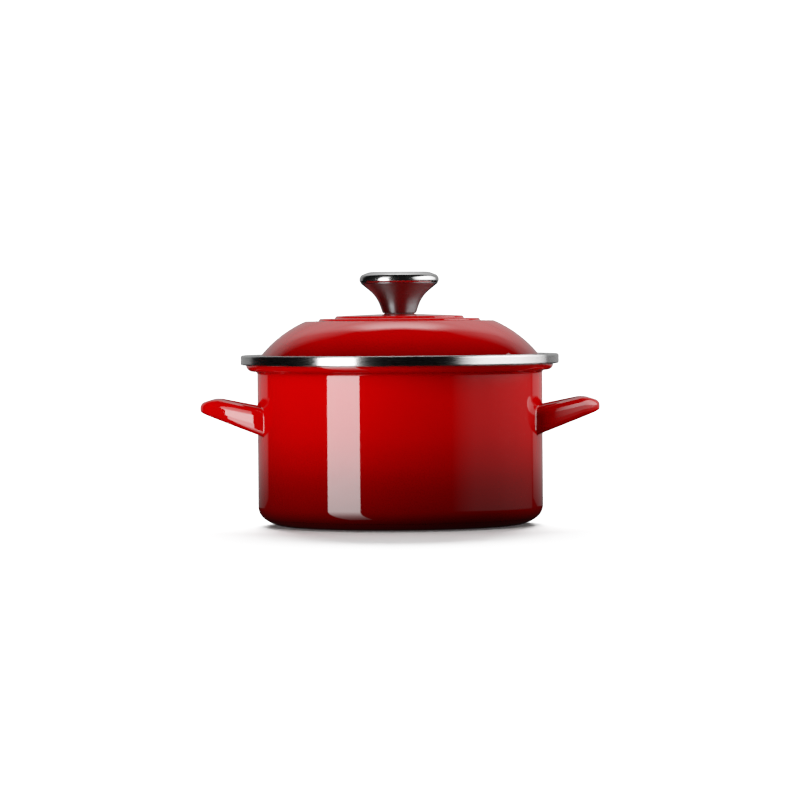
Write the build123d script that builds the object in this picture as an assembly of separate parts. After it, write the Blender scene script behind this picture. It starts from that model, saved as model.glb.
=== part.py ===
from build123d import *
from build123d.topology import SkipClean
import math
import os

# A small two-handled stock pot of enamelled sheet steel with a lift-off domed lid.
# Millimetres. The pot stands on z = 0 with its axis on Z, and its handles point along X.
# Sheet parts of revolution are drawn as the path of their outer face in the r-z plane,
# as (r, z, bend radius) points, and thickened towards the inside.

# Pot shell
SHELL_T = 1.5  # 1.2 mm steel with enamel on both sides
BODY_R = 102.5
LEDGE_Z = 110.9  # underside of the ledge that the lid rests on
NECK_R = 110.5
LIP_R = 112.4  # inner face of the turned-over lip
LIP_Z = 120.7

# Stainless trim: a torus face that goes all the way round a bend this tight can't be
# divided evenly into triangles, so its faces are sectors.
TRIM_SECTORS = 8

# Stainless rim band
BAND_T = 0.5
BAND_R = 114.4
BAND_INNER_R = 108.5
BAND_TOP_Z = 122.7
BAND_BOTTOM_Z = 115.5

# Lid
LID_T = 1.5
SEAT_Z = 151.6  # top of the lid under the knob
SCREW_HOLE_R = 3.4
STEP_R = (45.6, 57.3, 67.8)  # outer edge of the plateau and of the two rings around it
STEP_Z = (150.35, 148.5, 146.7)
RISER_RUN = 1.0
DOME_R = 85.0  # radius of the dome's arc in section
DOME_START_DEG = -24.0
DOME_END_DEG = -52.0
DOME_CORNER_R = 87.84  # where the tangents at the arc's two ends cross
SKIRT_R = 103.9
FLANGE_R = 105.95
RING_T = 0.4
RING_R = 107.0
RING_BOTTOM_Z = LEDGE_Z + SHELL_T + 0.1  # small gap over the ledge
RING_TOP_Z = RING_BOTTOM_Z + LID_T + 2 * RING_T
FLANGE_TOP_Z = RING_TOP_Z - RING_T

# Knob
KNOB_T = 0.8
GASKET_T = 0.5
GASKET_R = 11.0
KNOB_BOTTOM_Z = SEAT_Z + GASKET_T
KNOB_TOP_Z = 182.0
HEAD_R = 28.6
SEAM = (27.9, 174.1)  # where the polished head meets the satin stem
BOSS_R = 6.5
BOSS_L = 15.0
SCREW_R = 3.0
THREAD_GAP = 0.05
SCREW_TIP_Z = 164.2
SCREW_HEAD_R = 6.0
SCREW_HEAD_H = 3.4
RECESS_SIZE = (6.0, 1.2, 1.6)
WASHER_R = 8.5
WASHER_HOLE_R = 3.3
WASHER_T = 1.0

# Handles: pressed channels, open underneath, the outer wall's lower edge curled inwards
HANDLE_T = 1.6
TIP_X = 143.6
TIP_R = 24.0  # plan radius of the grip's outer face
TIP_ANGLES = (0, 20, 40, 60)
LEG_STATIONS = ((118.0, 27.6, 67), (104.6, 32.4, 74), (99.5, 33.9, 77), (95.0, 35.9, 63))
GRIP_W = 13.0
LEG_W = 9.5
ROOT_Z = 66.6  # lower edge where it meets the body
LOWER_SLOPE = math.tan(math.radians(20.4))
UPPER_ROOT = (103.0, 86.2)
UPPER_SLOPE = math.tan(math.radians(13.0))
GRIP_DROP = 7.2  # how far the grip's outer top edge falls below the legs' line
INNER_TOP_R = 3.0
OUTER_TOP_R = 6.0
OUTER_BOTTOM_R = 2.8
CURL = 3.8  # reach of the curled edge from the outer face


def offset_path(path, distance):
    """Shift a path of (r, z, bend radius) points to its left, bends staying concentric."""
    points = [Vector(r, z) for r, z, _ in path]
    runs = [(b - a).normalized() for a, b in zip(points, points[1:])]
    normals = [Vector(-run.Y, run.X) for run in runs]
    first = points[0] + normals[0] * distance
    last = points[-1] + normals[-1] * distance
    shifted = [(first.X, first.Y, 0)]
    for i, (before, after) in enumerate(zip(normals, normals[1:]), start=1):
        corner = points[i] + (before + after) * (distance / (1 + before.dot(after)))
        turn = math.copysign(1, before.X * after.Y - before.Y * after.X)
        shifted.append((corner.X, corner.Y, max(path[i][2] - turn * distance, 0)))
    return shifted + [(last.X, last.Y, 0)]


def filled(outline, plane=Plane.XZ):
    """The face inside a closed outline of (x, y, corner radius) points."""
    points = [(x, y) for x, y, _ in outline]
    edges = FilletPolyline(*points, radius=[r for _, _, r in outline], close=True)
    return plane * make_face(edges.edges())


def turned(outline):
    """A solid of revolution about Z."""
    return revolve(filled(outline), Axis.Z)


def sheet_outline(path, thickness):
    """The section of a bent sheet, on the path's left if thickness is positive."""
    return list(path) + offset_path(path, thickness)[::-1]


def sheet(path, thickness):
    """A turned sheet part."""
    return turned(sheet_outline(path, thickness))


def trim(path, thickness):
    """A turned part of thin sheet with tight bends, as one solid whose faces are sectors."""
    turn = 360 / TRIM_SECTORS
    sector = revolve(filled(sheet_outline(path, thickness)), Axis.Z, turn)
    with SkipClean():
        first, *others = [Rot(0, 0, turn * i) * sector for i in range(TRIM_SECTORS)]
        return first.fuse(*others).solid()


def tube(inner_r, outer_r, z, height):
    """A plain ring standing on z."""
    return Pos(0, 0, z) * extrude(Circle(outer_r) - Circle(inner_r), height)


def pot_shell():
    """Body, ledge, neck and turned-over lip, drawn from one sheet."""
    return sheet(
        [
            (0, 0, 0),
            (91.7, 0, 24.8),
            (BODY_R, 8.6, 11.3),
            (BODY_R, LEDGE_Z, 2.2),
            (NECK_R, LEDGE_Z, 4.5),
            (NECK_R, LIP_Z, 0.5),
            (LIP_R, LIP_Z, 0.5),
            (LIP_R, LIP_Z - 3.3, 0),
        ],
        SHELL_T,
    )


def pot_rim_band():
    """Bright band wrapped over the lip, from inside the neck to under the lip's edge."""
    return trim(
        [
            (BAND_INNER_R, BAND_TOP_Z - 4.5, 0),
            (BAND_INNER_R, BAND_TOP_Z, 1.5),
            (BAND_R, BAND_TOP_Z, 1.5),
            (BAND_R, BAND_BOTTOM_Z, 1.3),
            (BAND_R - 2.4, BAND_BOTTOM_Z, 0),
        ],
        -BAND_T,
    )


def lid_shell():
    """Flat knob seat, two stepped rings, dome, short skirt and resting flange."""
    start, end = (math.tan(math.radians(a)) for a in (DOME_START_DEG, DOME_END_DEG))
    corner_z = STEP_Z[2] + (DOME_CORNER_R - STEP_R[2]) * start
    skirt_z = corner_z + (SKIRT_R - DOME_CORNER_R) * end
    path = [(SCREW_HOLE_R, SEAT_Z, 0), (15.0, SEAT_Z, 20.0)]
    for i in range(2):
        path.append((STEP_R[i], STEP_Z[i], 1.6))
        path.append((STEP_R[i] + RISER_RUN, STEP_Z[i + 1], 1.2))
    path.append((STEP_R[2], STEP_Z[2], 3.0))
    path.append((DOME_CORNER_R, corner_z, DOME_R))
    path.append((SKIRT_R, skirt_z, 4.0))
    path.append((SKIRT_R, FLANGE_TOP_Z, 1.2))
    path.append((FLANGE_R, FLANGE_TOP_Z, 0))
    return sheet(path, -LID_T)


def lid_rim_ring():
    """Thin stainless trim wrapped round the lid's flange."""
    return trim(
        [
            (RING_R - 1.7, RING_TOP_Z, 0),
            (RING_R, RING_TOP_Z, 0.6),
            (RING_R, RING_BOTTOM_Z, 1.0),
            (RING_R - 3.1, RING_BOTTOM_Z, 0),
        ],
        -RING_T,
    )


def knob_cap():
    """Polished hollow head, flat on top with a rolled rim."""
    return sheet(
        [
            (0, KNOB_TOP_Z, 0),
            (21.5, KNOB_TOP_Z, 12.0),
            (HEAD_R, KNOB_TOP_Z - 2.9, 4.0),
            (HEAD_R, KNOB_TOP_Z - 6.5, 1.6),
            (*SEAM, 0),
        ],
        -KNOB_T,
    )


def knob_stem():
    """Satin trumpet under the head, closed at its foot by a flange for the screw."""
    return sheet(
        [
            (*SEAM, 0),
            (27.5, 173.3, 1.0),
            (16.3, 164.2, 24.0),
            (12.1, KNOB_BOTTOM_Z, 1.0),
            (SCREW_HOLE_R, KNOB_BOTTOM_Z, 0),
        ],
        -KNOB_T,
    )


def knob_boss():
    """Threaded insert standing on the stem's foot."""
    return tube(SCREW_R + THREAD_GAP, BOSS_R, KNOB_BOTTOM_Z + KNOB_T, BOSS_L)


def knob_gasket():
    """Thin seal between the knob's foot and the lid's enamel."""
    return tube(SCREW_HOLE_R, GASKET_R, SEAT_Z, GASKET_T)


def screw_washer():
    """Flat washer against the lid's underside."""
    return tube(WASHER_HOLE_R, WASHER_R, SEAT_Z - LID_T - WASHER_T, WASHER_T)


def knob_screw():
    """Pan-head screw with a cross recess, driven from inside the lid."""
    head_z = SEAT_Z - LID_T - WASHER_T
    screw = turned(
        [
            (0, head_z - SCREW_HEAD_H, 0),
            (SCREW_HEAD_R, head_z - SCREW_HEAD_H, 2.4),
            (SCREW_HEAD_R, head_z, 0.3),
            (SCREW_R, head_z, 0),
            (SCREW_R, SCREW_TIP_Z, 0.8),
            (0, SCREW_TIP_Z, 0),
        ]
    )
    for angle in (0, 90):
        screw -= Pos(0, 0, head_z - SCREW_HEAD_H) * Rot(0, 0, angle) * Box(*RECESS_SIZE)
    return screw


def handle_stations():
    """Outer-face points of one loop from foot to foot, each with its outward direction."""
    centre_x = TIP_X - TIP_R
    half = []
    for angle in TIP_ANGLES:
        turn = math.radians(angle)
        half.append((centre_x + TIP_R * math.cos(turn), TIP_R * math.sin(turn), angle))
    half += LEG_STATIONS
    return [(x, -y, -angle) for x, y, angle in half[:0:-1]] + half


def handle_frame(x, y, angle):
    """Plane, width, and (lower, upper) heights at the inner and the outer face of a section."""
    outward = math.cos(math.radians(angle))
    grip = outward**2
    width = LEG_W + (GRIP_W - LEG_W) * grip
    lower = [ROOT_Z + (at - BODY_R) * LOWER_SLOPE for at in (x - width * outward, x)]
    upper = [
        UPPER_ROOT[1] + (at - UPPER_ROOT[0]) * UPPER_SLOPE for at in (x - width * outward, x)
    ]
    upper[1] -= GRIP_DROP * grip
    direction = (outward, math.sin(math.radians(angle)), 0)
    normal = Vector(*direction).cross(Vector(0, 0, 1))
    return Plane((x, y, 0), x_dir=direction, z_dir=normal), width, lower, upper


def handle_section(x, y, angle):
    """One outer cross-section of the loop."""
    plane, width, lower, upper = handle_frame(x, y, angle)
    outline = [
        (-width, lower[0], 0),
        (-width, upper[0], INNER_TOP_R),
        (0, upper[1], OUTER_TOP_R),
        (0, lower[1], OUTER_BOTTOM_R),
    ]
    return filled(outline, plane)


def channel_section(x, y, angle):
    """The same section's hollow, which opens downwards beside the curled edge."""
    plane, width, lower, upper = handle_frame(x, y, angle)
    t = HANDLE_T
    fall = (lower[1] - lower[0]) / width
    curl_z = lower[1] - CURL * fall
    outline = [
        (t - width, lower[0] - CURL, 0),
        (t - width, upper[0] - t, INNER_TOP_R - t),
        (-t, upper[1] - t, OUTER_TOP_R - t),
        (-t, lower[1] + t - t * fall, OUTER_BOTTOM_R - t),
        (-CURL, curl_z + t, 0),
        (-CURL, curl_z - CURL, 0),
    ]
    return filled(outline, plane)


def handle(side):
    """A pressed loop on the side given as +1 or -1, cut to sit on the body's wall."""
    stations = handle_stations()
    outer = loft([handle_section(*station) for station in stations])
    hollow = loft([channel_section(*station) for station in stations])
    loop = outer - hollow - Cylinder(BODY_R, 3 * LEDGE_Z)
    return loop if side > 0 else mirror(loop, Plane.YZ)


NODES = {
    "pot_shell": pot_shell(),
    "pot_rim_band": pot_rim_band(),
    "handle_left": handle(-1),
    "handle_right": handle(1),
    "lid_shell": lid_shell(),
    "lid_rim_ring": lid_rim_ring(),
    "knob_cap": knob_cap(),
    "knob_stem": knob_stem(),
    "knob_boss": knob_boss(),
    "knob_gasket": knob_gasket(),
    "screw_washer": screw_washer(),
    "knob_screw": knob_screw(),
}

os.makedirs("parts", exist_ok=True)
for name, solid in NODES.items():
    export_step(solid, f"parts/{name}.step")
    print(name, round(solid.volume))
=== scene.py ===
"""Looks of a small enamelled stock pot with a domed lid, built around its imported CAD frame.

Sizes of pieces are in millimetres, as the dataclass fields say, and become metres when a mesh
is made. Places come from the frame's boxes.
"""

import logging
import math
from dataclasses import dataclass
from enum import Enum

import bmesh
import bpy
from mathutils import Matrix, Vector


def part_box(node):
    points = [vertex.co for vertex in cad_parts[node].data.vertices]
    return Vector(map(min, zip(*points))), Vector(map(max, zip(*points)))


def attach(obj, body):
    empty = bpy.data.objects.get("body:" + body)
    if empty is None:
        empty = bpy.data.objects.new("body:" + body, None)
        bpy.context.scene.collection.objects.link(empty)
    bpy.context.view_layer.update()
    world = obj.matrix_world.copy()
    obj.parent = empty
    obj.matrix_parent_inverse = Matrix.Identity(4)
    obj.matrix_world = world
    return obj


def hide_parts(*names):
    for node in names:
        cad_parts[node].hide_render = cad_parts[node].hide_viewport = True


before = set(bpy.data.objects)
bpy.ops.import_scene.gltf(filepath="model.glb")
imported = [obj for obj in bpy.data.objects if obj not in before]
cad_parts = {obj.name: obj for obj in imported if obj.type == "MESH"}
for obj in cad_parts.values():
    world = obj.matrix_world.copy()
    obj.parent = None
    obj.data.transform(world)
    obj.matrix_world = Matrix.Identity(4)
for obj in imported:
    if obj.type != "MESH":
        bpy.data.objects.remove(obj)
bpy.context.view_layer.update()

MM = 0.001
TINY = 1e-6
LOG = logging.getLogger("stock_pot")

Pair = tuple[float, float]
Triple = tuple[float, float, float]
Stops = tuple[Pair, ...]
Rows = list[list[Vector]]
Socket = bpy.types.NodeSocket
Material = bpy.types.Material
Thing = bpy.types.Object


class Slot(Enum):
    """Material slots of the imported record."""

    ENAMEL = "red_enamel"
    POLISHED = "polished_stainless"
    SATIN = "satin_stainless"
    STEEL = "plain_steel"
    SILICONE = "black_silicone"


class Body(Enum):
    """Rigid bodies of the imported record."""

    POT = "pot"
    LID = "lid"


def place_new(name: str, data: bpy.types.ID) -> Thing:
    """Put new data into the scene as an object of that name."""
    made = bpy.data.objects.new(name, data)
    bpy.context.scene.collection.objects.link(made)
    return made


def mesh_from(name: str, build: bmesh.types.BMesh) -> bpy.types.Mesh:
    """Write a bmesh to a new mesh of that name and free it."""
    mesh = bpy.data.meshes.new(name)
    build.to_mesh(mesh)
    build.free()
    return mesh


def add_ramp(tree: bpy.types.NodeTree, value: Socket, stops: list[tuple[float, Triple]]) -> Socket:
    """Add a colour ramp to a node tree.

    Args:
        tree: the material's or lamp's nodes.
        value: position along the ramp, from 0 to 1.
        stops: (position, colour) pairs in order.

    Returns:
        The colour's socket.
    """
    node = tree.nodes.new("ShaderNodeValToRGB")
    elements = node.color_ramp.elements
    while len(elements) < len(stops):
        elements.new(0.5)
    for element, (position, colour) in zip(elements, stops):
        element.position = position
        element.color = (*colour, 1.0)
    tree.links.new(value, node.inputs["Fac"])
    return node.outputs["Color"]


# --- outlines


NO_INNER_FACE = 10_000
LEAST_BEND = 0.15
MOST_EDGE_SHARE = 0.45


@dataclass(frozen=True)
class Corner:
    """A corner of an outline.

    Args:
        x: distance from the axis, or across a section, in mm.
        y: height in mm.
        radius: bend radius in mm.
    """

    x: float
    y: float
    radius: float = 0.0


@dataclass(frozen=True)
class OutlinePoint:
    """A point of a finished outline with its outward direction, both in the outline's plane."""

    x: float
    y: float
    nx: float
    ny: float
    inner: bool = False


@dataclass
class Outline:
    """A closed outline with rounded corners, walked counter-clockwise or clockwise.

    Args:
        corners: the outline's corners in order.
        inner_from: index of the first corner that belongs to the sheet's inner face.
        fixed_steps: arc steps for every corner, or 0 to choose them by size.
        degrees_per_step: the most that one arc step turns.
        longest_step: the longest arc step in mm.
    """

    corners: list[Corner]
    inner_from: int = NO_INNER_FACE
    fixed_steps: int = 0
    degrees_per_step: float = 8.0
    longest_step: float = 3.0

    def _side(self) -> float:
        """+1 if the outline runs counter-clockwise, else -1."""
        area = 0.0
        for a, b in zip(self.corners, self.corners[1:] + self.corners[:1]):
            area += a.x * b.y - b.x * a.y
        return math.copysign(1.0, area)

    def _steps(self, turn: float, radius: float) -> int:
        """How many straight steps an arc is divided into."""
        if self.fixed_steps:
            return self.fixed_steps
        by_angle = math.degrees(abs(turn)) / self.degrees_per_step
        by_length = abs(turn) * radius / self.longest_step
        return max(2, math.ceil(max(by_angle, by_length)))

    def points(self) -> list[OutlinePoint]:
        """Every point of the outline, with arcs at the corners that have a radius.

        Returns:
            The points in order, each with its outward direction.
        """
        side = self._side()
        found: list[OutlinePoint] = []
        count = len(self.corners)
        for i, corner in enumerate(self.corners):
            here = Vector((corner.x, corner.y))
            before = self.corners[i - 1]
            after = self.corners[(i + 1) % count]
            run_in = (here - Vector((before.x, before.y))).normalized()
            run_out = (Vector((after.x, after.y)) - here).normalized()
            bend = run_in.x * run_out.y - run_in.y * run_out.x
            turn = math.atan2(bend, run_in.dot(run_out))
            inner = i >= self.inner_from
            start = Vector((run_in.y, -run_in.x)) * side
            if corner.radius <= 0 or abs(turn) < TINY:
                middle = (start + Vector((run_out.y, -run_out.x)) * side).normalized()
                found.append(OutlinePoint(here.x, here.y, middle.x, middle.y, inner))
                continue
            reach = corner.radius * math.tan(abs(turn) / 2)
            to_centre = Vector((-run_in.y, run_in.x)) * math.copysign(corner.radius, turn)
            centre = here - run_in * reach + to_centre
            steps = self._steps(turn, corner.radius)
            for k in range(steps + 1):
                swing = Matrix.Rotation(turn * k / steps, 2)
                spot = centre - swing @ to_centre
                out = swing @ start
                found.append(OutlinePoint(spot.x, spot.y, out.x, out.y, inner))
        return found


def offset_corners(path: list[Corner], distance: float) -> list[Corner]:
    """Shift an open path to its left, keeping every bend concentric.

    Args:
        path: the open path.
        distance: how far to shift, negative for the right.

    Returns:
        The shifted path.
    """
    points = [Vector((c.x, c.y)) for c in path]
    runs = [(b - a).normalized() for a, b in zip(points, points[1:])]
    normals = [Vector((-run.y, run.x)) for run in runs]
    first = points[0] + normals[0] * distance
    last = points[-1] + normals[-1] * distance
    shifted = [Corner(first.x, first.y)]
    for i, (before, after) in enumerate(zip(normals, normals[1:]), start=1):
        corner = points[i] + (before + after) * (distance / (1 + before.dot(after)))
        turn = math.copysign(1, before.x * after.y - before.y * after.x)
        radius = max(path[i].radius - turn * distance, LEAST_BEND)
        shifted.append(Corner(corner.x, corner.y, radius))
    return shifted + [Corner(last.x, last.y)]


def sheet_outline(path: list[Corner], thickness: float, edge: float = 0.3) -> Outline:
    """The closed section of a bent sheet.

    Args:
        path: the outer face's path.
        thickness: sheet thickness in mm, positive for material on the path's left.
        edge: how round the sheet's cut edges are, in mm.

    Returns:
        The outline, with the inner face's corners marked.
    """
    inner = offset_corners(path, thickness)[::-1]
    radius = min(edge, abs(thickness) * MOST_EDGE_SHARE)
    ends = [path[0], path[-1], inner[0], inner[-1]]
    rounded = {id(c): Corner(c.x, c.y, radius) for c in ends if c.x > TINY}
    corners = [rounded.get(id(c), c) for c in path + inner]
    return Outline(corners, inner_from=len(path))


# --- meshes


@dataclass
class MeshMaker:
    """Turns outlines and grids of points into smooth mesh objects.

    Args:
        segments: how many flats a full turn has.
    """

    segments: int = 180

    def _finish(self, name: str, build: bmesh.types.BMesh, normals: list[Vector]) -> Thing:
        """Write a bmesh to a new object with the given vertex normals.

        Args:
            name: the object's name.
            build: the mesh being built, freed here.
            normals: one outward normal for each vertex.

        Returns:
            The new object.
        """
        bmesh.ops.recalc_face_normals(build, faces=build.faces)
        build.verts.index_update()
        agreement = sum(face.normal.dot(normals[face.verts[0].index]) for face in build.faces)
        if agreement < 0:
            bmesh.ops.reverse_faces(build, faces=build.faces)
        for face in build.faces:
            face.smooth = True
        mesh = mesh_from(name, build)
        mesh.normals_split_custom_set_from_vertices(normals)
        return place_new(name, mesh)

    def turned(self, name: str, outline: Outline) -> Thing:
        """A solid of revolution about Z from an outline in mm.

        Args:
            name: the object's name.
            outline: the closed section, with x as the radius.

        Returns:
            The new object; faces of the sheet's inner side have material index 1.
        """
        points = outline.points()
        build = bmesh.new()
        normals: list[Vector] = []
        rings = []
        for point in points:
            if point.x < TINY:
                rings.append([build.verts.new((0, 0, point.y * MM))])
                normals.append(Vector((0, 0, math.copysign(1, point.ny))))
                continue
            ring = []
            for k in range(self.segments):
                turn = math.tau * k / self.segments
                c, s = math.cos(turn), math.sin(turn)
                ring.append(build.verts.new((point.x * c * MM, point.x * s * MM, point.y * MM)))
                normals.append(Vector((point.nx * c, point.nx * s, point.ny)))
            rings.append(ring)
        for i, ring in enumerate(rings):
            following = rings[(i + 1) % len(rings)]
            if len(ring) == 1 and len(following) == 1:
                continue
            inner = int(points[i].inner)
            for k in range(self.segments):
                n = (k + 1) % self.segments
                corners = [ring[k % len(ring)], ring[n % len(ring)]]
                corners += [following[n % len(following)], following[k % len(following)]]
                face = build.faces.new(dict.fromkeys(corners))
                face.material_index = inner
        return self._finish(name, build, normals)

    def swept(self, name: str, grid: Rows, normals: Rows) -> Thing:
        """A tube-like skin through closed rows of points, open at both ends.

        Args:
            name: the object's name.
            grid: rows of points in metres, one row for each station.
            normals: outward normals for the same points.

        Returns:
            The new object.
        """
        build = bmesh.new()
        rows = [[build.verts.new(p) for p in row] for row in grid]
        for row, following in zip(rows, rows[1:]):
            for k in range(len(row)):
                n = (k + 1) % len(row)
                build.faces.new((row[k], row[n], following[n], following[k]))
        return self._finish(name, build, [n for row in normals for n in row])


# --- finishes


NOISE_SPAN = (0.3, 0.7)


class NodeTree:
    """A short way to write a material's nodes."""

    def __init__(self, name: str) -> None:
        """Start an empty material of that name."""
        self.material = bpy.data.materials.new(name)
        self.material.use_nodes = True
        self.tree = self.material.node_tree
        self.shader = self.tree.nodes["Principled BSDF"]
        self.place = self.add("ShaderNodeTexCoord").outputs["Object"]

    def add(self, kind: str, **values: object) -> bpy.types.Node:
        """Add a node and set its properties or input values.

        Args:
            kind: the node's type name.
            values: attributes of the node, or inputs as in_Name with _ for a space.

        Returns:
            The new node.
        """
        node = self.tree.nodes.new(kind)
        for key, value in values.items():
            if key.startswith("in_"):
                node.inputs[key[3:].replace("_", " ")].default_value = value
            else:
                setattr(node, key, value)
        return node

    def link(self, source: Socket, target: Socket) -> None:
        """Join two sockets."""
        self.tree.links.new(source, target)

    def feed(self, name: str, source: Socket) -> None:
        """Join a socket to one of the shader's inputs."""
        self.link(source, self.shader.inputs[name])

    def noise(self, scale: float, detail: float = 2.0, stretch: Triple = (1, 1, 1)) -> Socket:
        """Noise in object space.

        Args:
            scale: waves per metre.
            detail: octaves.
            stretch: scale of each axis before the noise is read.

        Returns:
            The noise value's socket.
        """
        mapping = self.add("ShaderNodeMapping", in_Scale=stretch)
        self.link(self.place, mapping.inputs["Vector"])
        noise = self.add("ShaderNodeTexNoise", in_Scale=scale, in_Detail=detail)
        self.link(mapping.outputs["Vector"], noise.inputs["Vector"])
        return noise.outputs["Fac"]

    def ranged(
        self, value: Socket, low: float, high: float, to_low: float, to_high: float
    ) -> Socket:
        """Map a value from one range to another.

        Args:
            value: the socket to map.
            low: value that becomes to_low.
            high: value that becomes to_high.
            to_low: result at low.
            to_high: result at high.

        Returns:
            The mapped value's socket.
        """
        node = self.add("ShaderNodeMapRange")
        limits = {"From Min": low, "From Max": high, "To Min": to_low, "To Max": to_high}
        for name, number in limits.items():
            node.inputs[name].default_value = number
        self.link(value, node.inputs["Value"])
        return node.outputs["Result"]

    def spread(self, noise: Socket, low: float, high: float) -> Socket:
        """Spread a noise value's usual span over a range."""
        return self.ranged(noise, *NOISE_SPAN, low, high)

    def height(self) -> Socket:
        """The point's height in object space."""
        split = self.add("ShaderNodeSeparateXYZ")
        self.link(self.place, split.inputs["Vector"])
        return split.outputs["Z"]

    def ramp(self, value: Socket, stops: list[tuple[float, Triple]]) -> Socket:
        """A colour ramp over a value from 0 to 1."""
        return add_ramp(self.tree, value, stops)

    def tinted(self, colour: Socket, shade: Socket) -> Socket:
        """Multiply a colour by a grey value.

        Args:
            colour: the colour's socket.
            shade: the grey value's socket.

        Returns:
            The multiplied colour's socket.
        """
        node = self.add("ShaderNodeVectorMath", operation="SCALE")
        self.link(colour, node.inputs[0])
        self.link(shade, node.inputs["Scale"])
        return node.outputs["Vector"]

    def bump(self, layers: list[tuple[Socket, float]]) -> None:
        """Stack bump layers onto the shader's normal.

        Args:
            layers: (height socket, full height in metres) pairs.
        """
        normal = None
        for value, depth in layers:
            node = self.add("ShaderNodeBump", in_Distance=depth)
            self.link(value, node.inputs["Height"])
            if normal is not None:
                self.link(normal, node.inputs["Normal"])
            normal = node.outputs["Normal"]
        self.feed("Normal", normal)


@dataclass(frozen=True)
class EnamelFinish:
    """Glassy enamel whose red darkens lower down, partly its own ombré and partly painted shade.

    Args:
        name: the material's name.
        colour: the full red.
        ombre_and_shade: (height in mm, share of the full red) pairs, lowest first; they hold the
            enamel's ombré and painted shade together.
        roughness: middle roughness.
        waviness: depth of the broad waves in metres.
        peel: depth of the fine orange peel in metres.
        wander: how far the shades' heights stray, in mm.
        mottle: how far the brightness strays, as a share.
    """

    name: str
    colour: Triple
    ombre_and_shade: Stops
    roughness: float = 0.03
    waviness: float = 3e-5
    peel: float = 1.5e-6
    wander: float = 0.6
    mottle: float = 0.015
    wander_scale: float = 25.0
    mottle_scale: float = 70.0
    gloss_scale: float = 220.0
    wave_scale: float = 42.0
    peel_scale: float = 650.0

    def material(self) -> Material:
        """Build the enamel's nodes."""
        tree = NodeTree(self.name)
        low, high = self.ombre_and_shade[0][0], self.ombre_and_shade[-1][0]
        reach = self.wander * MM
        stray = tree.spread(tree.noise(self.wander_scale), -reach, reach)
        place = tree.add("ShaderNodeMath", operation="ADD")
        tree.link(tree.height(), place.inputs[0])
        tree.link(stray, place.inputs[1])
        span = tree.ranged(place.outputs["Value"], low * MM, high * MM, 0.0, 1.0)
        # The ramp by height paints shade into the red along with the enamel's own ombré.
        stops = [
            ((z - low) / (high - low), tuple(c * share for c in self.colour))
            for z, share in self.ombre_and_shade
        ]
        cloud = tree.noise(self.mottle_scale, 3.0)
        mottle = tree.spread(cloud, 1 - self.mottle, 1 + self.mottle)
        colour = tree.tinted(tree.ramp(span, stops), mottle)
        tree.feed("Base Color", colour)
        gloss = tree.noise(self.gloss_scale)
        rough = tree.spread(gloss, self.roughness * 0.8, self.roughness * 1.25)
        tree.feed("Roughness", rough)
        waves = tree.noise(self.wave_scale, 1.0)
        tree.bump([(waves, self.waviness), (tree.noise(self.peel_scale, 1.0), self.peel)])
        return tree.material


@dataclass(frozen=True)
class SpeckledEnamelFinish:
    """Dark cooking enamel with fine pale specks, on the inside faces."""

    name: str = "dark_speckled_enamel"
    base: Triple = (0.018, 0.018, 0.02)
    speck: Triple = (0.35, 0.34, 0.33)
    cells_per_metre: float = 420.0
    picked_from: Pair = (0.7, 0.72)
    speck_edge: Pair = (0.18, 0.3)
    roughness: Pair = (0.17, 0.2)
    grain: float = 1e-5

    def material(self) -> Material:
        """Build the speckled enamel's nodes."""
        tree = NodeTree(self.name)
        cells = tree.add("ShaderNodeTexVoronoi", in_Scale=self.cells_per_metre)
        tree.link(tree.place, cells.inputs["Vector"])
        picked = tree.ranged(cells.outputs["Color"], *self.picked_from, 0.0, 1.0)
        dot = tree.ranged(cells.outputs["Distance"], *self.speck_edge, 1.0, 0.0)
        both = tree.add("ShaderNodeMath", operation="MULTIPLY")
        tree.link(picked, both.inputs[0])
        tree.link(dot, both.inputs[1])
        colour = tree.ramp(both.outputs["Value"], [(0.0, self.base), (1.0, self.speck)])
        tree.feed("Base Color", colour)
        rough = tree.spread(tree.noise(400.0), *self.roughness)
        tree.feed("Roughness", rough)
        tree.bump([(tree.noise(500.0), self.grain)])
        return tree.material


ACROSS_THE_LINES = 0.25


@dataclass(frozen=True)
class SteelFinish:
    """Stainless steel with fine turning lines round its axis.

    Args:
        name: the material's name.
        colour: reflectance.
        roughness: middle roughness.
        lines: depth of the turning lines in metres.
        brushing: how far the lines spread highlights across themselves, from 0 to 1.
        line_scale: lines per metre.
        stretch: scale of each axis before the lines are read.
    """

    name: str
    colour: Triple
    roughness: float
    lines: float
    brushing: float = 0.0
    line_scale: float = 3000.0
    stretch: Triple = (0.02, 0.02, 1.0)

    def material(self) -> Material:
        """Build the steel's nodes."""
        tree = NodeTree(self.name)
        tree.shader.inputs["Metallic"].default_value = 1.0
        if self.brushing:
            tree.shader.inputs["Anisotropic"].default_value = self.brushing
            tree.shader.inputs["Anisotropic Rotation"].default_value = ACROSS_THE_LINES
            tangent = tree.add("ShaderNodeTangent", direction_type="RADIAL", axis="Z")
            tree.feed("Tangent", tangent.outputs["Tangent"])
        dull = tuple(c * 0.96 for c in self.colour)
        colour = tree.ramp(tree.noise(60.0, 3.0), list(zip(NOISE_SPAN, (dull, self.colour))))
        tree.feed("Base Color", colour)
        lines = tree.noise(self.line_scale, 2.0, self.stretch)
        rough = tree.spread(lines, self.roughness * 0.88, self.roughness * 1.12)
        tree.feed("Roughness", rough)
        tree.bump([(lines, self.lines)])
        return tree.material


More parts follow.
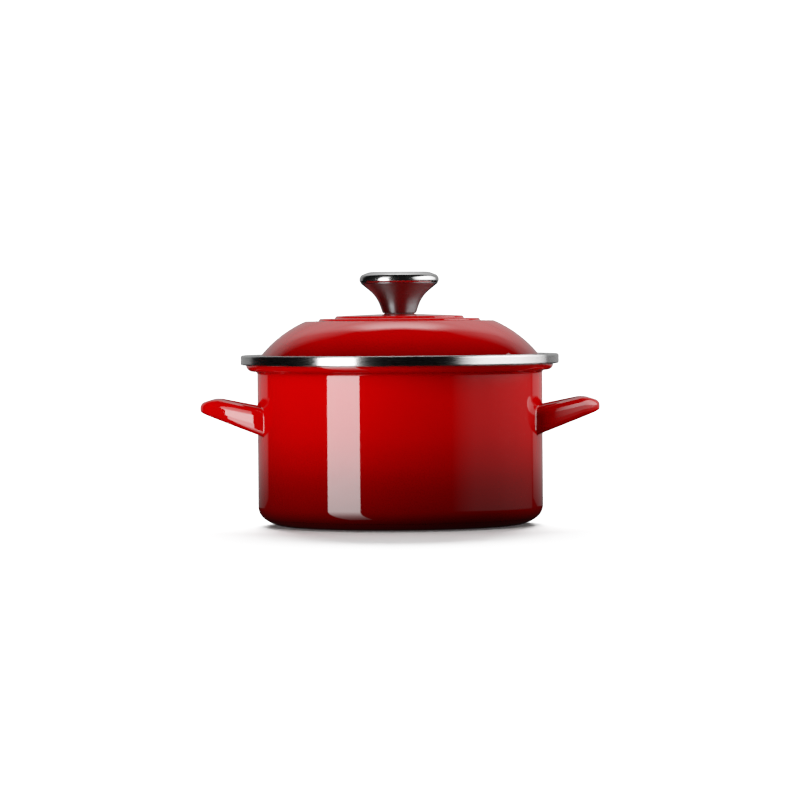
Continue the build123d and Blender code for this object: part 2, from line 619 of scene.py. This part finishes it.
@dataclass(frozen=True)
class SiliconeFinish:
    """Matt black silicone with a fine moulded grain."""

    name: str = "black_silicone_seal"
    dark: Triple = (0.012, 0.012, 0.012)
    pale: Triple = (0.03, 0.03, 0.03)
    roughness: Pair = (0.5, 0.65)
    grain: float = 2e-5

    def material(self) -> Material:
        """Build the silicone's nodes."""
        tree = NodeTree(self.name)
        grain = tree.noise(1800.0, 3.0)
        colour = tree.ramp(grain, list(zip(NOISE_SPAN, (self.dark, self.pale))))
        tree.feed("Base Color", colour)
        tree.feed("Roughness", tree.spread(grain, *self.roughness))
        tree.bump([(grain, self.grain)])
        return tree.material


def dress(piece: Thing, slot: Slot, *materials: Material) -> None:
    """Give a piece its materials.

    Args:
        piece: the object to dress.
        slot: the record's material slot; not used.
        materials: one material for each material index.
    """
    held = piece.data.materials
    for index, material in enumerate(materials):
        if index < len(held):
            held[index] = material
        else:
            held.append(material)


def settle(piece: Thing, body: Body, *nodes: str) -> None:
    """Make a piece ride on a body in place of CAD nodes.

    Args:
        piece: the object.
        body: the body it moves with.
        nodes: the CAD nodes that it stands for.
    """
    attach(piece, body.value)
    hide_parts(*nodes)
    LOG.info("%s rides on %s", piece.name, body.value)


# --- the pot


# Share of the body's red by height: the enamel's own ombré toward the base, with painted shade for
# the falloff down the wall worked in.
BODY_OMBRE_AND_PAINTED_SHADE = (
    (1, 0.1), (4, 0.095), (7, 0.105), (13, 0.175), (20, 0.227),
    (29, 0.288), (37, 0.37), (46, 0.505), (55, 0.63), (65.5, 0.79),
    (76, 0.89), (91, 0.98), (102, 1), (122, 1),
)
# Share of the lid's red by height: partly the enamel's own ombré and partly painted shade, darker
# toward the flange.
LID_OMBRE_AND_PAINTED_SHADE = (
    (115, 0.2), (122, 0.3), (125.8, 0.41), (129.9, 0.53),
    (134.2, 0.7), (138.2, 0.82), (148.2, 0.92), (152, 0.92),
)


RED = (0.41, 0.0001, 0.0002)


class Finishes:
    """Every finish of the object, made once."""

    def __init__(self) -> None:
        """Build the materials."""
        self.body = EnamelFinish("cherry_enamel_body_ombre_and_painted_shade", RED, BODY_OMBRE_AND_PAINTED_SHADE).material()
        self.lid = EnamelFinish("cherry_enamel_lid_ombre_and_painted_shade", RED, LID_OMBRE_AND_PAINTED_SHADE).material()
        self.inside = SpeckledEnamelFinish().material()
        # Painted shade: the head's steel gets a lower reflectance than the band's, which dims its
        # top face.
        self.polished = SteelFinish(
            "polished_stainless_steel_painted_shade", (0.47, 0.47, 0.47), roughness=0.17, lines=4e-7
        ).material()
        self.brushed = SteelFinish(
            "brushed_stainless_steel", (0.64, 0.63, 0.63),
            roughness=0.28, lines=6e-7, brushing=1.0,
        ).material()
        # Painted shade: the stem's steel is far darker than stainless steel and tinted cool, which
        # holds back the lid's red reflection.
        self.satin = SteelFinish(
            "satin_stainless_steel_painted_shade", (0.2, 0.225, 0.23),
            roughness=0.33, lines=6e-7, brushing=0.85,
        ).material()
        self.steel = SteelFinish(
            "plain_fastener_steel", (0.55, 0.55, 0.55), roughness=0.32, lines=4e-6
        ).material()
        self.silicone = SiliconeFinish().material()


@dataclass
class Assembly:
    """What every sub-assembly is made with.

    Args:
        maker: makes the meshes.
        finishes: the materials.
    """

    maker: MeshMaker
    finishes: Finishes


@dataclass
class PotShell(Assembly):
    """The drawn body with its ledge, neck and turned-over lip, and the band over the lip.

    Sizes are in mm; heights are above the base.
    """

    thickness: float = 1.5
    body_r: float = 102.5
    ledge_z: float = 110.9
    neck_r: float = 110.5
    lip_r: float = 112.4
    lip_z: float = 120.7
    lip_drop: float = 3.3
    base_r: float = 91.7
    base_bend: float = 24.8
    heel_z: float = 8.6
    heel_bend: float = 11.3
    ledge_bend: float = 2.2
    neck_bend: float = 4.5
    lip_bend: float = 0.5
    band_t: float = 0.5
    band_inner_r: float = 108.5
    band_inner_h: float = 4.5
    band_bend: float = 1.5
    band_foot_bend: float = 1.3
    band_foot_w: float = 2.4
    band_edge: float = 0.2

    def build_shell(self) -> None:
        """Make the enamelled body."""
        path = [
            Corner(0, 0),
            Corner(self.base_r, 0, self.base_bend),
            Corner(self.body_r, self.heel_z, self.heel_bend),
            Corner(self.body_r, self.ledge_z, self.ledge_bend),
            Corner(self.neck_r, self.ledge_z, self.neck_bend),
            Corner(self.neck_r, self.lip_z, self.lip_bend),
            Corner(self.lip_r, self.lip_z, self.lip_bend),
            Corner(self.lip_r, self.lip_z - self.lip_drop),
        ]
        shell = self.maker.turned("pot_shell_enamel", sheet_outline(path, self.thickness))
        dress(shell, Slot.ENAMEL, self.finishes.body, self.finishes.inside)
        settle(shell, Body.POT, "pot_shell")

    def build_band(self) -> None:
        """Make the bright band wrapped over the lip."""
        low, high = (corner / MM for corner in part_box("pot_rim_band"))
        path = [
            Corner(self.band_inner_r, high.z - self.band_inner_h),
            Corner(self.band_inner_r, high.z, self.band_bend),
            Corner(high.x, high.z, self.band_bend),
            Corner(high.x, low.z, self.band_foot_bend),
            Corner(high.x - self.band_foot_w, low.z),
        ]
        outline = sheet_outline(path, -self.band_t, self.band_edge)
        band = self.maker.turned("rim_band_polished", outline)
        dress(band, Slot.POLISHED, self.finishes.brushed, self.finishes.brushed)
        settle(band, Body.POT, "pot_rim_band")


@dataclass
class LoopHandle(Assembly):
    """A pressed loop handle, a channel that is open underneath, welded to the body.

    Sizes are in mm, for the handle on the +X side.
    """

    wall_r: float = 102.5
    thickness: float = 1.6
    tip_r: float = 24.0
    tip_turn: float = 60.0
    leg_foot: Triple = (98.0, 34.3, 84.0)
    leg_pull: float = 11.5
    inner_top_r: float = 3.0
    outer_top_r: float = 6.0
    outer_bottom_r: float = 4.6
    curl: float = 3.8
    crown: float = 0.35
    crown_r: float = 30.0
    crown_share: float = 0.38
    grip_w: float = 13.0
    leg_w: float = 9.5
    root_z: float = 66.6
    lower_slope: float = math.tan(math.radians(20.4))
    upper_root: Pair = (103.0, 86.2)
    upper_slope: float = math.tan(math.radians(13.0))
    grip_drop: float = 7.2
    weld_fillet: float = 1.0
    inner_weld: float = 0.5
    sink: float = 0.1
    cut_edge_r: float = 0.5
    curl_r: float = 0.6
    least_r: float = 0.3
    full_face: float = 12.0
    full_spare: float = 0.5
    crown_reach: float = 2.0
    arc_steps: int = 7
    leg_share: float = 0.88
    tip_stations: int = 30
    leg_stations: int = 34
    weld_steps: int = 8

    def _plan(self, share: float, tip_x: float) -> tuple[Vector, float]:
        """The outer face's line seen from above, on the +Y half.

        Args:
            share: 0 at the grip's middle, 1 where the arc ends, 2 at the leg's foot.
            tip_x: the handle's farthest reach in mm.

        Returns:
            The point in mm and its outward direction's angle in radians.
        """
        turn = math.radians(self.tip_turn)
        centre = tip_x - self.tip_r
        angle = turn * min(share, 1)
        start = Vector((centre + self.tip_r * math.cos(angle), self.tip_r * math.sin(angle)))
        if share <= 1:
            return start, angle
        end = Vector(self.leg_foot[:2])
        foot = math.radians(self.leg_foot[2])
        leave = start + Vector((-math.sin(turn), math.cos(turn))) * self.leg_pull
        arrive = end - Vector((-math.sin(foot), math.cos(foot))) * self.leg_pull
        t = share - 1
        point = (1 - t) ** 3 * start + 3 * (1 - t) ** 2 * t * leave
        point += 3 * (1 - t) * t**2 * arrive + t**3 * end
        slope = (1 - t) ** 2 * (leave - start) + 2 * (1 - t) * t * (arrive - leave)
        slope += t**2 * (end - arrive)
        return point, math.atan2(-slope.x, slope.y)

    def _section(self, x: float, outward: float) -> list[OutlinePoint]:
        """The channel's section where its outer face is at x.

        Args:
            x: the outer face's distance from the pot's middle plane, in mm.
            outward: cosine of the angle between the section and the X axis.

        Returns:
            The section's points, x across it from the outer face and y as the height.
        """
        grip = outward**2
        width = self.leg_w + (self.grip_w - self.leg_w) * grip
        spots = (x - width * outward, x)
        lower = [self.root_z + (at - self.wall_r) * self.lower_slope for at in spots]
        upper = [self.upper_root[1] + (at - self.upper_root[0]) * self.upper_slope for at in spots]
        upper[1] -= self.grip_drop * grip
        t = self.thickness
        fall = (lower[1] - lower[0]) / width
        curl_z = lower[1] - self.curl * fall
        face = upper[1] - lower[1]
        rise = (upper[1] - upper[0]) / width
        spare = self.full_spare * min(1.0, face / self.full_face)
        crown_reach = self.crown_reach * spare
        top_reach = (1 - self.crown_share) * face - crown_reach - spare
        top_turn = math.tan(math.pi / 4 + math.atan(rise) / 2)
        top_r = min(self.outer_top_r, top_reach / top_turn)
        bottom_reach = self.crown_share * face - crown_reach - spare
        bottom_turn = math.tan(math.pi / 4 - math.atan(fall) / 2)
        bottom_r = min(self.outer_bottom_r, bottom_reach / bottom_turn)
        crown_turn = math.atan(self.crown / top_reach) + math.atan(self.crown / bottom_reach)
        crown_r = min(self.crown_r, crown_reach / crown_turn)
        outer = [
            Corner(-width, lower[0], self.cut_edge_r),
            Corner(-width, upper[0], self.inner_top_r),
            Corner(0, upper[1], top_r),
            Corner(self.crown * spare, lower[1] + self.crown_share * face, crown_r),
            Corner(0, lower[1], bottom_r),
        ]
        inner = [
            Corner(-self.curl, curl_z, self.curl_r),
            Corner(-self.curl, curl_z + t, self.curl_r),
            Corner(-t, lower[1] + t - t * fall, max(bottom_r - t, self.least_r)),
            Corner(-t, upper[1] - t, max(top_r - t, self.least_r)),
            Corner(t - width, upper[0] - t, self.inner_top_r - t),
            Corner(t - width, lower[0] + t * fall, self.cut_edge_r),
        ]
        return Outline(outer + inner, len(outer), self.arc_steps).points()

    def _row(
        self, share: float, tip_x: float
    ) -> tuple[list[Vector], list[Vector], list[bool]]:
        """One row of the skin on the +Y half.

        Args:
            share: how far along the half loop, from 0 to 2.
            tip_x: the handle's farthest reach in mm.

        Returns:
            Points in mm, section normals and which points are inside the channel.
        """
        spot, angle = self._plan(share, tip_x)
        across = Vector((math.cos(angle), math.sin(angle), 0))
        up = Vector((0, 0, 1))
        section = self._section(spot.x, math.cos(angle))
        points = [Vector((spot.x, spot.y, 0)) + across * p.x + up * p.y for p in section]
        normals = [across * p.nx + up * p.ny for p in section]
        return points, normals, [p.inner for p in section]

    def _weld_rows(
        self, rows: Rows, normals: list[Vector], inner: list[bool]
    ) -> Rows:
        """Rows that carry the leg's end to the wall with a concave weld fillet.

        Args:
            rows: the last two rows of the leg, in mm.
            normals: the last row's section normals.
            inner: which points are inside the channel.

        Returns:
            The added rows in mm, the last of them on the wall.
        """
        added: Rows = [[] for _ in range(self.weld_steps + 1)]
        for before, last, normal, hidden in zip(rows[0], rows[1], normals, inner):
            fillet = self.inner_weld if hidden else self.weld_fillet
            run = (last - before).normalized()
            flat_run, start = run.xy, last.xy
            radius = self.wall_r - self.sink
            b = start.dot(flat_run)
            gap = b * b - flat_run.length_squared * (start.length_squared - radius**2)
            reach = (-b - math.sqrt(gap)) / flat_run.length_squared
            foot = last + run * reach
            out = Vector((foot.x, foot.y, 0)).normalized()
            along = (normal - out * normal.dot(out)).normalized()
            lift = -run.dot(out)
            for k in range(self.weld_steps + 1):
                turn = math.pi / 2 * k / self.weld_steps
                away = foot - run * (fillet * (1 - math.sin(turn)) / lift)
                added[k].append(away + along * (fillet * (1 - math.cos(turn))))
        return added

    def build(self, side: int) -> None:
        """Make one handle.

        Args:
            side: +1 for the right handle, -1 for the left.
        """
        node = "handle_right" if side > 0 else "handle_left"
        tip_x = max(abs(corner.x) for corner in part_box(node)) / MM
        shares = [i / self.tip_stations for i in range(self.tip_stations + 1)]
        shares += [
            1 + self.leg_share * (i + 1) / self.leg_stations for i in range(self.leg_stations)
        ]
        rows = [self._row(share, tip_x) for share in shares]
        points = [row[0] for row in rows]
        weld = self._weld_rows(points[-2:], rows[-1][1], rows[-1][2])
        half = points + weld
        section_normals = [row[1] for row in rows] + [rows[-1][1]] * len(weld)
        grid = [[p * MM for p in row] for row in self._whole(half, side)]
        hints = self._whole(section_normals, side)
        handle = self.maker.swept(f"{node}_loop", grid, self._normals(grid, hints))
        dress(handle, Slot.ENAMEL, self.finishes.body)
        settle(handle, Body.POT, node)

    def _whole(self, half: Rows, side: int) -> Rows:
        """Mirror half a loop's rows to a whole loop on one side of the pot.

        Args:
            half: rows from the grip's middle to the wall, for the +X handle.
            side: +1 for the right handle, -1 for the left.

        Returns:
            The rows from one foot to the other.
        """
        other = [[Vector((v.x, -v.y, v.z)) for v in row] for row in half[:0:-1]]
        return [[Vector((v.x * side, v.y, v.z)) for v in row] for row in other + half]

    def _normals(self, grid: Rows, hints: Rows) -> Rows:
        """Surface normals from the sections' normals and the skin's own run.

        Args:
            grid: the skin's points.
            hints: each point's normal within its section.

        Returns:
            One unit normal for each point.
        """
        found = []
        last = len(grid) - 1
        for i, row in enumerate(grid):
            before, after = grid[max(i - 1, 0)], grid[min(i + 1, last)]
            line = []
            for k, hint in enumerate(hints[i]):
                run = (after[k] - before[k]).normalized()
                line.append((hint - run * hint.dot(run)).normalized())
            found.append(line)
        return found


# --- the lid


@dataclass
class Lid(Assembly):
    """The domed lid with two stepped rings, and the trim round its flange. Sizes in mm."""

    thickness: float = 1.5
    seat_z: float = 151.6
    seat_r: float = 15.0
    hole_r: float = 3.4
    step_r: Triple = (45.6, 57.3, 67.8)
    step_z: Triple = (150.35, 148.5, 146.7)
    riser_run: float = 1.0
    dome_r: float = 85.0
    dome_start: float = -24.0
    dome_end: float = -52.0
    dome_corner_r: float = 87.84
    skirt_r: float = 103.9
    flange_r: float = 105.95
    seat_bend: float = 20.0
    riser_bends: Pair = (1.6, 1.2)
    dome_top_bend: float = 3.0
    skirt_bend: float = 4.0
    flange_bend: float = 1.2
    ring_t: float = 0.4
    ring_top_w: float = 1.7
    ring_bends: Pair = (0.6, 1.0)
    ring_foot_w: float = 3.1
    ring_edge: float = 0.15

    def build_shell(self) -> None:
        """Make the enamelled dome."""
        flange_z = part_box("lid_rim_ring")[1].z / MM - self.ring_t
        start, end = (math.tan(math.radians(a)) for a in (self.dome_start, self.dome_end))
        corner_z = self.step_z[2] + (self.dome_corner_r - self.step_r[2]) * start
        skirt_z = corner_z + (self.skirt_r - self.dome_corner_r) * end
        path = [Corner(self.hole_r, self.seat_z), Corner(self.seat_r, self.seat_z, self.seat_bend)]
        for i in range(2):
            foot_r = self.step_r[i] + self.riser_run
            path.append(Corner(self.step_r[i], self.step_z[i], self.riser_bends[0]))
            path.append(Corner(foot_r, self.step_z[i + 1], self.riser_bends[1]))
        path += [
            Corner(self.step_r[2], self.step_z[2], self.dome_top_bend),
            Corner(self.dome_corner_r, corner_z, self.dome_r),
            Corner(self.skirt_r, skirt_z, self.skirt_bend),
            Corner(self.skirt_r, flange_z, self.flange_bend),
            Corner(self.flange_r, flange_z),
        ]
        shell = self.maker.turned("lid_shell_enamel", sheet_outline(path, -self.thickness))
        dress(shell, Slot.ENAMEL, self.finishes.lid, self.finishes.inside)
        settle(shell, Body.LID, "lid_shell")

    def build_ring(self) -> None:
        """Make the trim round the flange."""
        low, high = (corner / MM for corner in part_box("lid_rim_ring"))
        path = [
            Corner(high.x - self.ring_top_w, high.z),
            Corner(high.x, high.z, self.ring_bends[0]),
            Corner(high.x, low.z, self.ring_bends[1]),
            Corner(high.x - self.ring_foot_w, low.z),
        ]
        outline = sheet_outline(path, -self.ring_t, self.ring_edge)
        ring = self.maker.turned("lid_trim_polished", outline)
        dress(ring, Slot.POLISHED, self.finishes.brushed, self.finishes.brushed)
        settle(ring, Body.LID, "lid_rim_ring")


@dataclass
class Knob(Assembly):
    """The flared knob: polished head, satin stem and the fasteners inside. Sizes in mm."""

    thickness: float = 0.8
    edge: float = 0.2
    seam_r: float = 27.9
    crown_r: float = 21.5
    crown_bend: float = 12.0
    rim_drop: float = 2.9
    rim_bend: float = 4.0
    side_drop: float = 6.5
    side_bend: float = 1.6
    flare_r: float = 27.5
    flare_drop: float = 0.8
    waist_r: float = 16.3
    waist_h: float = 12.1
    waist_bend: float = 24.0
    foot_r: float = 12.1
    stem_bend: float = 1.0
    hole_r: float = 3.4

    def build_cap(self) -> None:
        """Make the polished head."""
        low, high = (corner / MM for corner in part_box("knob_cap"))
        path = [
            Corner(0, high.z),
            Corner(self.crown_r, high.z, self.crown_bend),
            Corner(high.x, high.z - self.rim_drop, self.rim_bend),
            Corner(high.x, high.z - self.side_drop, self.side_bend),
            Corner(self.seam_r, low.z),
        ]
        outline = sheet_outline(path, -self.thickness, self.edge)
        cap = self.maker.turned("knob_head_polished", outline)
        dress(cap, Slot.POLISHED, self.finishes.polished, self.finishes.polished)
        settle(cap, Body.LID, "knob_cap")

    def build_stem(self) -> None:
        """Make the trumpet-shaped stem."""
        foot_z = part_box("knob_stem")[0].z / MM
        seam_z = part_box("knob_cap")[0].z / MM
        path = [
            Corner(self.seam_r, seam_z),
            Corner(self.flare_r, seam_z - self.flare_drop, self.stem_bend),
            Corner(self.waist_r, foot_z + self.waist_h, self.waist_bend),
            Corner(self.foot_r, foot_z, self.stem_bend),
            Corner(self.hole_r, foot_z),
        ]
        stem = self.maker.turned("knob_stem_satin", sheet_outline(path, -self.thickness, self.edge))
        dress(stem, Slot.SATIN, self.finishes.satin, self.finishes.satin)
        settle(stem, Body.LID, "knob_stem")

    def dress_fasteners(self) -> None:
        """Give the boss, screw, washer and gasket their self.finishes."""
        for name in ("knob_boss", "knob_screw", "screw_washer"):
            dress(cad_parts[name], Slot.STEEL, self.finishes.steel)
        dress(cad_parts["knob_gasket"], Slot.SILICONE, self.finishes.silicone)


# --- the studio


class Lights(Enum):
    """What a lamp shines on."""

    POT = "EXCLUDE"
    FLOOR = "INCLUDE"


def aim(lamp: Thing, lights: Lights, floor: Thing) -> None:
    """Link a lamp to the floor alone, or to everything but the floor.

    Args:
        lamp: the lamp's object.
        lights: what it shines on.
        floor: the floor.
    """
    group = bpy.data.collections.new(f"{lamp.name}_reach")
    group.objects.link(floor)
    group.collection_objects[0].light_linking.link_state = lights.value
    lamp.light_linking.receiver_collection = group


@dataclass(frozen=True)
class Panel:
    """An upright light panel that the camera doesn't see.

    Args:
        name: the lamp's name.
        start: the panel's left end on the floor plan, as the pot sees it, in metres.
        end: its right end.
        bottom: height of its lower edge.
        top: height of its upper edge.
        radiance: brightness of its surface.
        across: (share of the width, brightness) stops from start to end.
        upward: (height in metres, brightness) stops.
        glossy: whether it shows in reflections.
        diffuse: whether it lights matt surfaces.
    """

    name: str
    start: Pair
    end: Pair
    bottom: float
    top: float
    radiance: float
    across: Stops = ((0.0, 1.0), (1.0, 1.0))
    upward: Stops = ()
    glossy: bool = True
    diffuse: bool = True

    def _dress(self, lamp: bpy.types.Light) -> None:
        """Give the lamp its gradients."""
        lamp.use_nodes = True
        tree = lamp.node_tree
        place = tree.nodes.new("ShaderNodeNewGeometry").outputs["Parametric"]
        split = tree.nodes.new("ShaderNodeSeparateXYZ")
        tree.links.new(place, split.inputs["Vector"])
        product = tree.nodes.new("ShaderNodeMath")
        product.operation = "MULTIPLY"
        height = self.top - self.bottom
        rising = self.upward or ((self.bottom, 1.0), (self.top, 1.0))
        upward = [((z - self.bottom) / height, level) for z, level in rising]
        for i, (axis, levels) in enumerate((("X", self.across), ("Y", upward))):
            stops = [(position, (level,) * 3) for position, level in levels]
            tree.links.new(add_ramp(tree, split.outputs[axis], stops), product.inputs[i])
        tree.links.new(product.outputs["Value"], tree.nodes["Emission"].inputs["Strength"])

    def build(self) -> Thing:
        """Make the lamp.

        Returns:
            The lamp's object.
        """
        run = Vector(self.end) - Vector(self.start)
        middle = (Vector(self.start) + Vector(self.end)) / 2
        lamp = bpy.data.lights.new(self.name, "AREA")
        lamp.shape = "RECTANGLE"
        lamp.size, lamp.size_y = run.length, self.top - self.bottom
        lamp.energy = self.radiance * math.pi * lamp.size * lamp.size_y
        self._dress(lamp)
        made = place_new(self.name, lamp)
        made.location = (middle.x, middle.y, (self.bottom + self.top) / 2)
        made.rotation_euler = (math.pi / 2, 0, math.atan2(run.y, run.x))
        made.visible_camera = False
        made.visible_glossy = self.glossy
        made.visible_diffuse = self.diffuse
        return made


STRIP_BELOW = (
    (-4, 0.02), (-2.8, 0.055), (-1.7, 0.14), (-1, 0.3), (-0.4, 0.52), (-0.12, 0.64),
    (-0.09, 0.73), (-0.05, 0.82), (0, 0.88), (0.05, 0.95), (0.15, 1),
)
STRIP_LEFT = Panel(
    "strip_left", (-2.313, -1.369), (-1.426, -2.291), -4, 3.1, 11.5,
    upward=(*STRIP_BELOW, (0.5, 0.7), (0.9, 0.35), (1.6, 0.25), (3.1, 0.2)),
    diffuse=False,
)
SIDE_LEFT = Panel(
    "side_left", (-2.348, -1.403), (-1.461, -2.325), -4, 3.1, 11.5,
    upward=STRIP_BELOW, glossy=False,
)
FILL_RIGHT = Panel(
    "fill_right", (2.2, -2.53), (2.2, 1.91), -0.3, 2.3, 4.5,
    across=((0, 0), (0.3, 1), (0.61, 1), (1, 0.4)),
    upward=((-0.3, 0.015), (-0.1, 0.033), (0.06, 0.05), (0.25, 0.9), (0.35, 1)),
    diffuse=False,
)
SIDE_RIGHT = Panel("side_right", (2.25, -0.45), (2.25, 1.3), 0, 2.3, 10.2, glossy=False)
BACK_TALL = Panel(
    "back_tall", (0.55, 1), (-0.55, 1), 1.15, 2.4, 3.2,
    across=(
        (0, 0), (0.1, 0.3), (0.2, 0.8), (0.3, 1),
        (0.7, 1), (0.8, 0.8), (0.9, 0.3), (1, 0),
    ),
    upward=(
        (1.3, 0), (1.42, 0.2), (1.65, 0.65), (1.9, 1), (2, 1), (2.28, 0.3), (2.4, 0),
    ),
)
BACK_BROAD = Panel(
    "back_broad", (1.05, 1.02), (-1.05, 1.02), 0, 2.2, 0.95,
    across=(
        (0, 0), (0.08, 0.15), (0.12, 0.3), (0.19, 0.45), (0.21, 0.7), (0.26, 1),
        (0.74, 1), (0.79, 0.7), (0.81, 0.45), (0.88, 0.3), (0.92, 0.15), (1, 0),
    ),
    upward=(
        (0.14, 0), (0.456, 0.1), (0.66, 0.3), (0.91, 0.75), (1.13, 1),
        (1.4, 1), (1.65, 0.8), (1.95, 0.5), (2.2, 0),
    ),
)
BACK_WALL = Panel(
    "back_wall", (1.25, 1.05), (-1.25, 1.05), -0.05, 1, 0.32,
    across=((0, 0), (0.05, 1), (0.5, 1), (0.95, 0.85), (1, 0)),
    upward=((-0.05, 0.2), (0, 0.8), (0.1, 1), (0.5, 1), (0.8, 0.5), (1, 0)),
)
PANELS = (STRIP_LEFT, SIDE_LEFT, FILL_RIGHT, SIDE_RIGHT, BACK_TALL, BACK_BROAD, BACK_WALL)


@dataclass(frozen=True)
class FloorLight:
    """A broad light from behind that falls on the floor alone.

    Args:
        name: the lamp's name.
        level: brightness that it gives a flat floor.
        height: its angle above the floor in degrees.
        spread: how wide it is in degrees.
    """

    name: str
    level: float
    height: float
    spread: float

    def build(self) -> Thing:
        """Make the lamp.

        Returns:
            The lamp's object.
        """
        lamp = bpy.data.lights.new(self.name, "SUN")
        lamp.energy = self.level * math.pi / math.sin(math.radians(self.height))
        lamp.angle = math.radians(self.spread)
        made = place_new(self.name, lamp)
        made.rotation_euler = (math.radians(self.height - 90), 0, 0)
        return made


FLOOR_LIGHTS = (FloorLight("sweep_low", 2.9, 28.0, 40.0), FloorLight("sweep_high", 0.7, 75.0, 90.0))


@dataclass
class Studio:
    """Pale floor, soft panels and the camera. Sizes in metres and degrees."""

    distance: float = 3.1
    eye_z: float = 0.1622
    aim_z: float = 0.0897
    view_width: float = 0.5754
    roll: float = 0.42
    floor_half: float = 30.0
    floor_drop: float = 0.0001
    floor_white: float = 0.9
    floor_glow: float = 0.05
    room: float = 0.004
    backdrop: float = 3.0
    tones: Stops = ((0.0, 0.0), (0.55, 0.55), (1.04, 0.8), (2.2, 1.0))

    def build_camera(self) -> None:
        """Place the camera in front of the pot, a little above it."""
        camera = bpy.data.cameras.new("camera")
        made = place_new("camera", camera)
        eye = Vector((0, -self.distance, self.eye_z))
        gaze = Vector((0, 0, self.aim_z)) - eye
        camera.lens = camera.sensor_width * gaze.length / self.view_width
        turn = gaze.to_track_quat("-Z", "Y").to_matrix()
        made.rotation_euler = (turn @ Matrix.Rotation(math.radians(-self.roll), 3, "Z")).to_euler()
        made.location = eye
        bpy.context.scene.camera = made

    def build_floor(self) -> Thing:
        """Make the pale floor under the pot.

        Returns:
            The floor.
        """
        build = bmesh.new()
        bmesh.ops.create_grid(build, x_segments=2, y_segments=2, size=self.floor_half)
        floor = place_new("floor", mesh_from("floor", build))
        material = bpy.data.materials.new("pale_floor")
        material.use_nodes = True
        shader = material.node_tree.nodes["Principled BSDF"]
        shader.inputs["Base Color"].default_value = (*(self.floor_white,) * 3, 1)
        shader.inputs["Roughness"].default_value = 1.0
        shader.inputs["Specular IOR Level"].default_value = 0.0
        shader.inputs["Emission Color"].default_value = (1, 1, 1, 1)
        shader.inputs["Emission Strength"].default_value = self.floor_glow
        floor.data.materials.append(material)
        floor.location.z = -self.floor_drop
        floor.visible_glossy = False
        floor.visible_diffuse = False
        floor.visible_shadow = False
        return floor

    def build_world(self) -> None:
        """A white backdrop for the camera, and a dim room for everything else."""
        world = bpy.data.worlds.new("studio")
        world.use_nodes = True
        tree = world.node_tree
        back = tree.nodes["Background"]
        path = tree.nodes.new("ShaderNodeLightPath")
        mix = tree.nodes.new("ShaderNodeMix")
        mix.inputs["A"].default_value = self.room
        mix.inputs["B"].default_value = self.backdrop
        tree.links.new(path.outputs["Is Camera Ray"], mix.inputs["Factor"])
        tree.links.new(mix.outputs["Result"], back.inputs["Strength"])
        back.inputs["Color"].default_value = (1, 1, 1, 1)
        bpy.context.scene.world = world

    def set_tones(self) -> None:
        """Roll bright tones off softly to white."""
        view = bpy.context.scene.view_settings
        view.view_transform = "Standard"
        view.use_curve_mapping = True
        mapping = view.curve_mapping
        mapping.clip_max_x = self.tones[-1][0]
        curve = mapping.curves[3]
        curve.points[0].location = self.tones[0]
        curve.points[-1].location = self.tones[-1]
        for spot in self.tones[1:-1]:
            curve.points.new(*spot)
        mapping.update()

    def build(self) -> None:
        """Set the whole studio."""
        self.build_camera()
        floor = self.build_floor()
        self.build_world()
        for light in FLOOR_LIGHTS:
            aim(light.build(), Lights.FLOOR, floor)
        for panel in PANELS:
            aim(panel.build(), Lights.POT, floor)
        self.set_tones()
        LOG.info("studio set")


def main() -> None:
    """Build the studio and every piece."""
    logging.basicConfig(level=logging.INFO, format="%(name)s: %(message)s")
    kit = (MeshMaker(), Finishes())
    Studio().build()
    pot = PotShell(*kit)
    pot.build_shell()
    pot.build_band()
    for side in (-1, 1):
        LoopHandle(*kit).build(side)
    lid = Lid(*kit)
    lid.build_shell()
    lid.build_ring()
    knob = Knob(*kit)
    knob.build_cap()
    knob.build_stem()
    knob.dress_fasteners()


if __name__ == "__main__":
    main()
